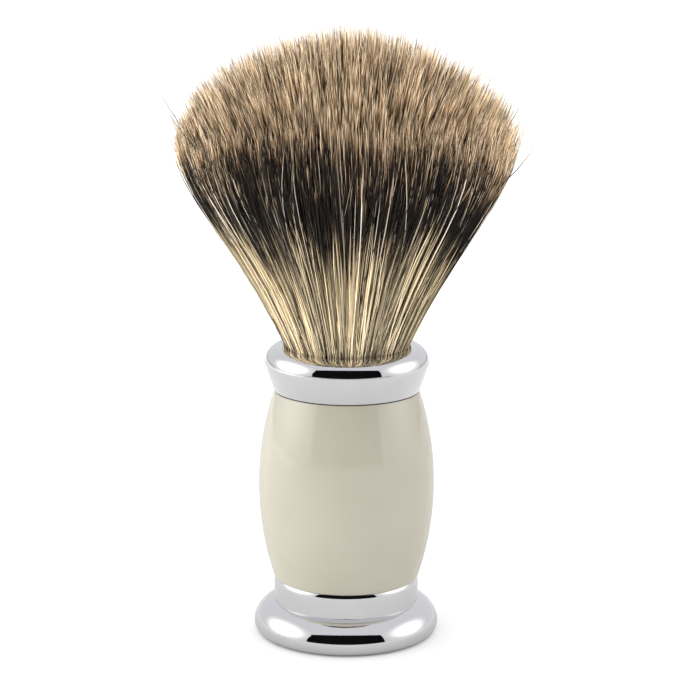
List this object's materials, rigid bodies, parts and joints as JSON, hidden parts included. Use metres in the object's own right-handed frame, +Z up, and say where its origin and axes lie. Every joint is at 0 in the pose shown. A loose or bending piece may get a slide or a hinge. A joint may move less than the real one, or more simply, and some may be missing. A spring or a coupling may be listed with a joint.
{
  "type": "shaving brush",
  "caption": "Round shaving brush with a fan of flexing badger hair in a chromed collar, on a bulging ivory resin barrel with a chromed rounded foot.",
  "frame": {"origin": "centre of the foot's flat contact ring, on the table", "axes": "+Z up along the brush's turning axis, towards the hair tips; -Y towards the viewer; +X to the viewer's right"},
  "size_m": [0.0586, 0.0586, 0.1072],
  "materials": {
    "collar_chrome": "polished",
    "base_chrome": "polished",
    "barrel_resin": "gloss",
    "badger_hair_tips": "matte",
    "badger_hair_roots": "matte",
    "binding_cord": "matte",
    "plug_resin": "satin",
    "adhesive": "satin",
    "seal_rubber": "matte",
    "fastener_steel": "satin",
    "pad_foam": "matte"
  },
  "bodies": {
    "handle": {"collar": "collar_chrome", "barrel": "barrel_resin", "base": "base_chrome", "collar_gasket": "seal_rubber", "base_gasket": "seal_rubber", "tie_rod": "fastener_steel", "flat_washer": "fastener_steel", "lock_washer": "fastener_steel", "tie_nut": "fastener_steel", "foot_pad": "pad_foam", "knot_adhesive": "adhesive", "knot_plug": "plug_resin", "knot_binding_cord": "binding_cord", "hair_root": "badger_hair_roots"},
    "free_hair": {"hair_fan": "badger_hair_tips"}
  },
  "joints": [
    {"name": "hair_bend", "type": "hinge", "parent": "handle", "child": "free_hair", "pos_m": [0, 0, 0.05205], "axis": [0, 1, 0], "range_deg": [-25, 25], "stiffness_Nm_per_rad": 0.05}
  ]
}
